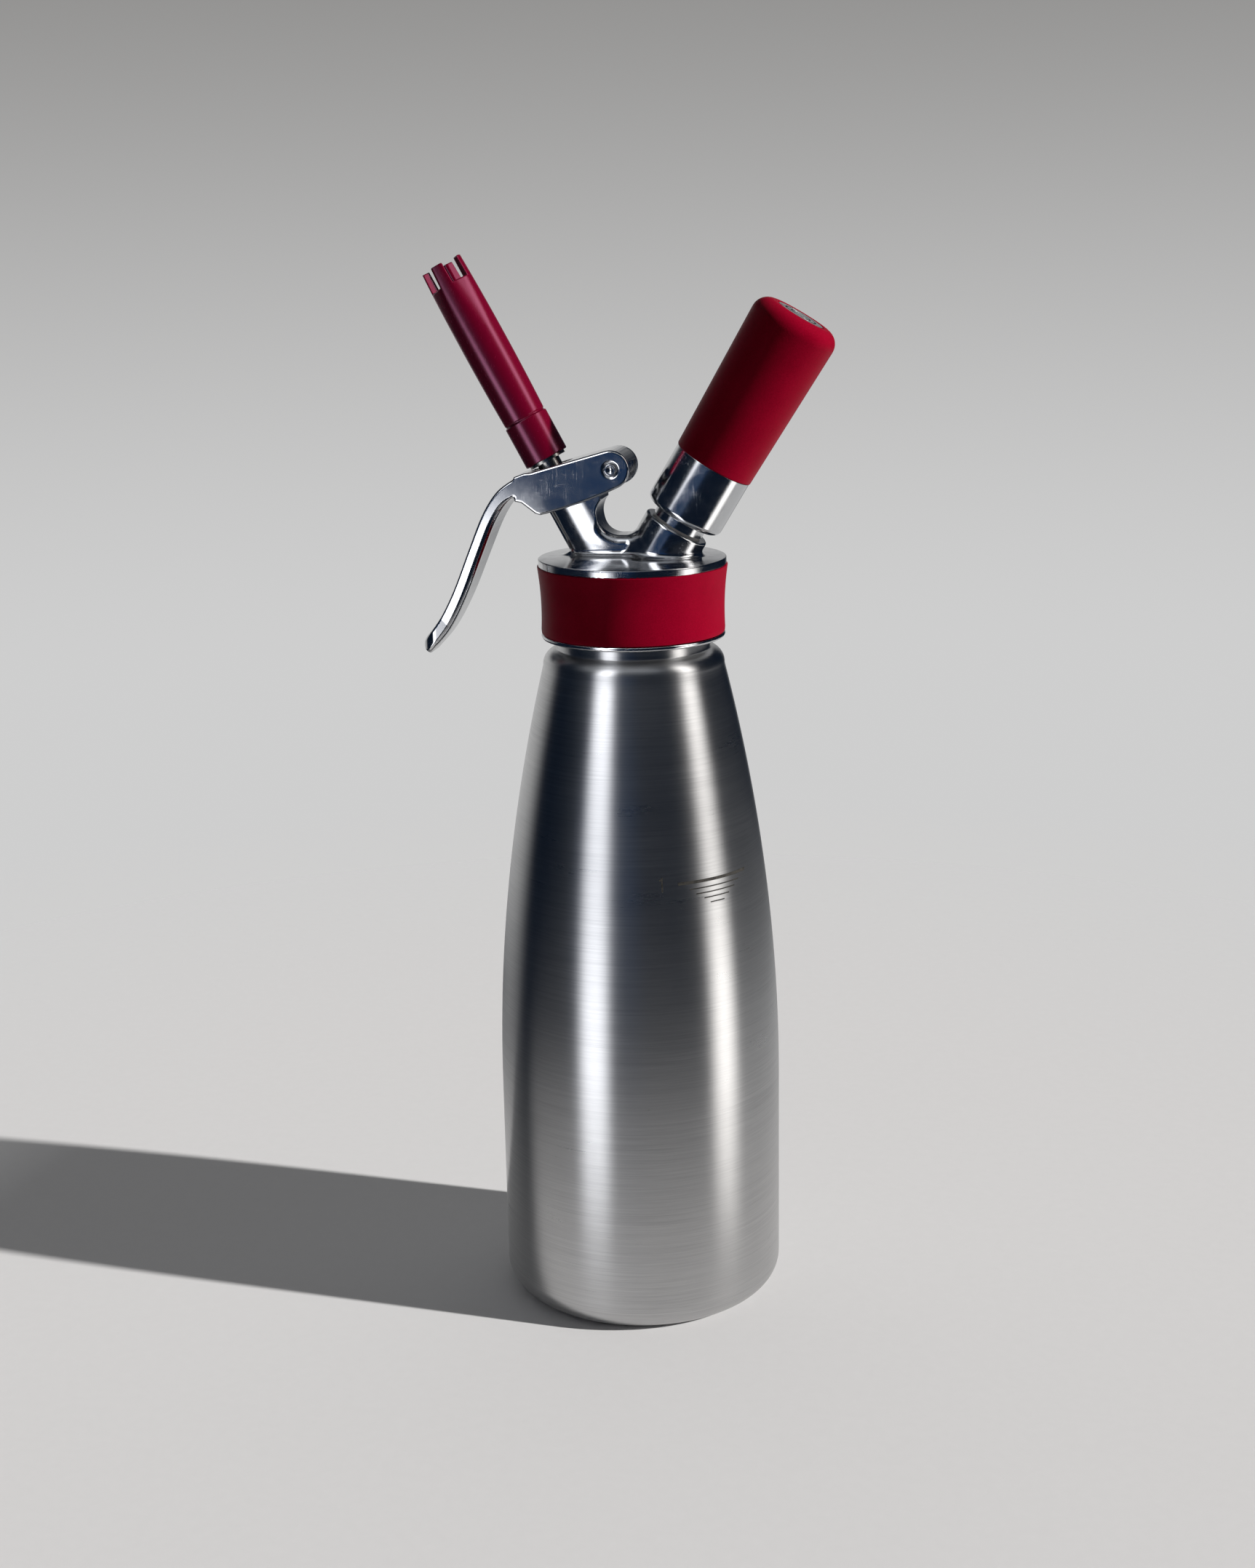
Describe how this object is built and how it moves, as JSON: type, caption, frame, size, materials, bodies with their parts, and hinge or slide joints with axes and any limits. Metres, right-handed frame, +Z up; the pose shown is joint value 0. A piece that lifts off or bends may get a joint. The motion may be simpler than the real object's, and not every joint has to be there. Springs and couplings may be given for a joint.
{
  "type": "whipped cream dispenser",
  "caption": "Steel pressure bottle with a screw-on lever head, sprung dispensing valve, star tip and leaning gas charger holder.",
  "frame": {"origin": "centre of the bottle base, on the surface it stands on", "axes": "+Z up along the bottle axis, lever on the -X side, charger holder leaning to +X"},
  "size_m": [0.1359, 0.095, 0.3498],
  "materials": {
    "brushed_steel": "brushed",
    "polished_steel": "polished",
    "red_silicone": "matte",
    "red_plastic": "gloss",
    "seal_rubber": "matte",
    "white_seal": "matte",
    "spring_steel": "satin",
    "brass_nickel": "satin",
    "disc_metal": "satin",
    "bulb_steel": "zinc plated"
  },
  "bodies": {
    "bottle": {"bottle": "brushed_steel"},
    "gasket": {"head_gasket": "red_silicone"},
    "head": {"head": "polished_steel", "grip_band": "red_silicone", "pivot_pin": "polished_steel", "charger_post": "brass_nickel", "post_washer": "white_seal", "piercing_pin": "spring_steel", "charger_seal": "seal_rubber", "check_sleeve": "seal_rubber", "check_screw": "spring_steel", "valve_spring": "spring_steel"},
    "lever": {"lever": "polished_steel"},
    "valve": {"valve_stem": "brass_nickel", "valve_rings": "seal_rubber", "valve_seal": "seal_rubber", "valve_nut": "brass_nickel", "tip_adapter": "brass_nickel"},
    "tip_washer": {"tip_washer": "white_seal"},
    "tip": {"decorator_tip": "red_plastic"},
    "charger": {"gas_charger": "bulb_steel", "bulb_cap": "spring_steel"},
    "holder": {"charger_holder": "polished_steel", "holder_sleeve": "red_silicone", "holder_disc": "disc_metal"}
  },
  "joints": [
    {"name": "head_lift", "type": "slide", "parent": "bottle", "child": "gasket", "axis": [0, 0, 1], "range_m": [0, 0.0175]},
    {"name": "head_turn", "type": "hinge", "parent": "gasket", "child": "head", "pos_m": [0, 0, 0.2503], "axis": [0, 0, 1], "range_deg": [0, 1280]},
    {"name": "lever_press", "type": "hinge", "parent": "head", "child": "lever", "pos_m": [-0.0052, 0, 0.2825], "axis": [0, -1, 0], "range_deg": [0, 12.6]},
    {"name": "valve_press", "type": "slide", "parent": "head", "child": "valve", "axis": [0.4726, 0, -0.8813], "range_m": [0, 0.00267], "stiffness_N_per_m": 2160, "springref_m": -0.0038, "deforming": ["valve_spring"]},
    {"name": "washer_lift", "type": "slide", "parent": "valve", "child": "tip_washer", "axis": [-0.4726, 0, 0.8813], "range_m": [0, 0.01]},
    {"name": "tip_turn", "type": "hinge", "parent": "tip_washer", "child": "tip", "pos_m": [-0.03413, 0, 0.29767], "axis": [-0.4726, 0, 0.8813], "range_deg": [0, 1830]},
    {"name": "charger_lift", "type": "slide", "parent": "head", "child": "charger", "axis": [0.515, 0, 0.8572], "range_m": [0, 0.0135]},
    {"name": "holder_turn", "type": "hinge", "parent": "charger", "child": "holder", "pos_m": [0.03744, 0, 0.30114], "axis": [0.515, 0, 0.8572], "range_deg": [0, 1640]}
  ],
  "couplings": [
    {"joint": "head_turn", "follows": "head_lift", "rad_per_m": 1256.6},
    {"joint": "lever_press", "follows": "valve_press", "rad_per_m": 78.574},
    {"joint": "tip_turn", "follows": "washer_lift", "rad_per_m": 3141.6},
    {"joint": "holder_turn", "follows": "charger_lift", "rad_per_m": 2094.4}
  ]
}
